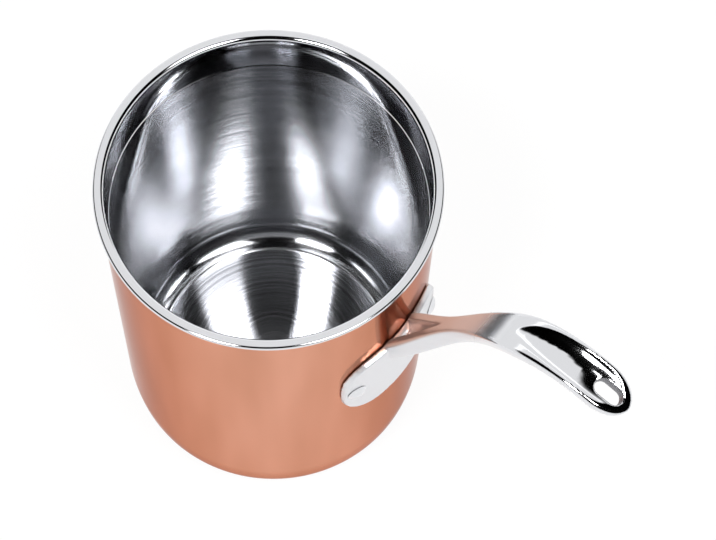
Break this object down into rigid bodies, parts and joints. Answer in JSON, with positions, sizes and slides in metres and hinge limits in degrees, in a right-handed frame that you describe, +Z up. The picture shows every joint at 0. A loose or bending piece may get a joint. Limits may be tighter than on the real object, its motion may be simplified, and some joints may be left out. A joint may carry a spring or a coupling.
{
  "type": "deep frying pan",
  "caption": "Deep round pan with a copper outside, a steel lining, a turned-out rim and a rising cast steel handle riveted to its wall.",
  "frame": {"origin": "middle of the flat underside, where the pan stands", "axes": "+Z up through the pot's axis, +X along the handle, XZ is the plane of symmetry"},
  "size_m": [0.2822, 0.16, 0.2395],
  "materials": {
    "lining_steel": "brushed, with a polished rim and band",
    "core_aluminium": "hidden ply",
    "outer_copper": "polished and lacquered copper",
    "cast_steel": "mirror polished"
  },
  "bodies": {
    "root": {"steel_lining": "lining_steel", "aluminium_core": "core_aluminium", "copper_shell": "outer_copper", "handle": "cast_steel", "rivet_left": "cast_steel", "rivet_right": "cast_steel"}
  },
  "joints": []
}
